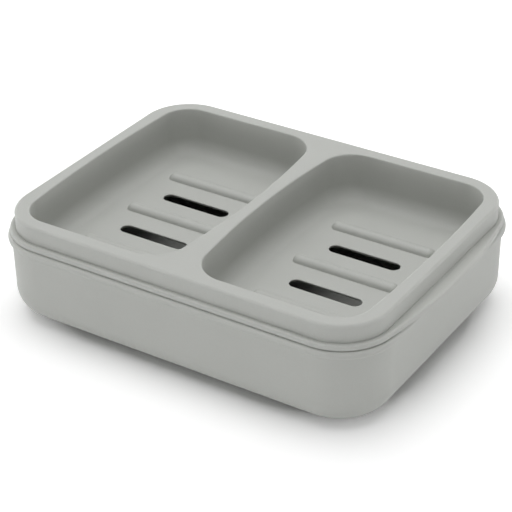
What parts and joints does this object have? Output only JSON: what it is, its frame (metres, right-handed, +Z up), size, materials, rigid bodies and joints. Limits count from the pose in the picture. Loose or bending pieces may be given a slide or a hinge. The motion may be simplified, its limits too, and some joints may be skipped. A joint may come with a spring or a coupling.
{
  "type": "double soap dish",
  "caption": "Double soap dish: a ribbed, slotted tray with side-by-side soap wells lifts by its end grips out of a deep, rounded drip pan that stands on non-slip pads.",
  "frame": {"origin": "on the surface that the dish stands on, under the middle of the dish", "axes": "+X along the dish across both wells, -Y to the front, +Z up"},
  "size_m": [0.1572, 0.1164, 0.0401],
  "materials": {
    "dish_plastic": "fine matte moulded plastic, pale sage grey",
    "pad_rubber": "soft matte silicone rubber, mid grey"
  },
  "bodies": {
    "base": {"base_pan": "dish_plastic", "pad_front_left": "pad_rubber", "pad_front_right": "pad_rubber", "pad_back_left": "pad_rubber", "pad_back_right": "pad_rubber"},
    "tray": {"soap_tray": "dish_plastic"}
  },
  "joints": [
    {"name": "tray_lift", "type": "slide", "parent": "base", "child": "tray", "axis": [0, 0, 1], "range_m": [0, 0.03]}
  ]
}
